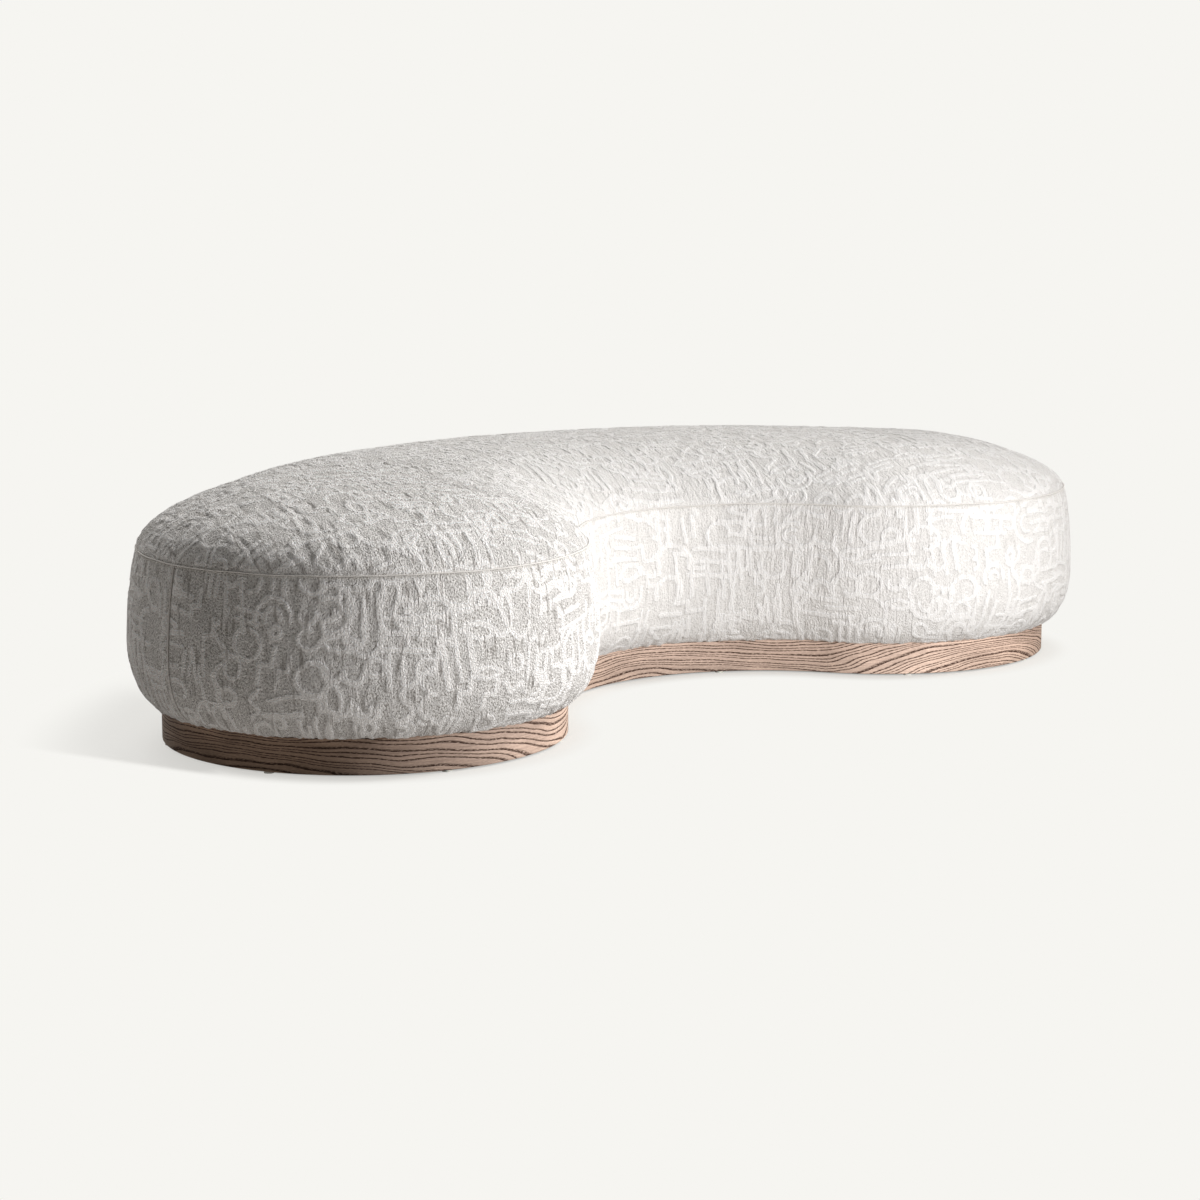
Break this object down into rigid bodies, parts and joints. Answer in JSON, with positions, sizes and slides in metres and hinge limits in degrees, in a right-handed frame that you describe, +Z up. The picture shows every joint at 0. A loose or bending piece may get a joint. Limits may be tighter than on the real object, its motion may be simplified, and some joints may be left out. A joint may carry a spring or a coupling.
{
  "type": "low sofa",
  "caption": "Low backless sofa, bean-shaped in plan, with a crowned upholstered seat, a seamed side band and an inset bent-wood plinth.",
  "frame": {"origin": "on the floor, under the middle of the plan's box", "axes": "+X along the sofa's length to the right, +Y from the concave bay in front to the convex back, +Z up"},
  "size_m": [2.0024, 1.0743, 0.401],
  "materials": {
    "nylon": "moulded off-white nylon, matte",
    "stained_ash": "open-grained ash veneer, stained grey-brown, matte lacquer",
    "plywood": "birch plywood, sanded and unfinished",
    "softwood": "planed pine, unfinished",
    "zinc_steel": "zinc-plated steel, satin",
    "webbing": "elastic upholstery webbing, woven, dark grey",
    "foam": "cut polyurethane seating foam, open cell",
    "fibre": "bonded polyester fibre wrap, soft white",
    "chenille": "off-white chenille matelasse with a raised quilted figure",
    "chenille_seam": "the cover's cloth, folded and stitched at the seam",
    "dust_cloth": "black-grey non-woven dust cloth"
  },
  "bodies": {
    "root": {"floor_glides": "nylon", "plinth_wall_left": "stained_ash", "plinth_wall_right": "stained_ash", "plinth_wall_back": "stained_ash", "plinth_wall_bay": "stained_ash", "plinth_ring": "plywood", "plinth_ribs": "plywood", "plinth_splice_blocks": "softwood", "plinth_bolts": "zinc_steel", "plinth_washers": "zinc_steel", "tee_nuts": "zinc_steel", "base_board": "plywood", "frame_spine": "plywood", "frame_bulkheads": "plywood", "frame_glue_blocks": "softwood", "seat_deck": "plywood", "deck_screws": "zinc_steel", "frame_liner": "plywood", "seat_webbing": "webbing", "side_foam_left": "foam", "side_foam_right": "foam", "side_foam_back": "foam", "side_foam_bay": "foam", "seat_foam": "foam", "fibre_wrap": "fibre", "cover_top": "chenille", "cover_band_front": "chenille", "cover_band_back": "chenille", "top_seam": "chenille_seam", "band_seams": "chenille_seam", "dust_cloth": "dust_cloth"}
  },
  "joints": []
}
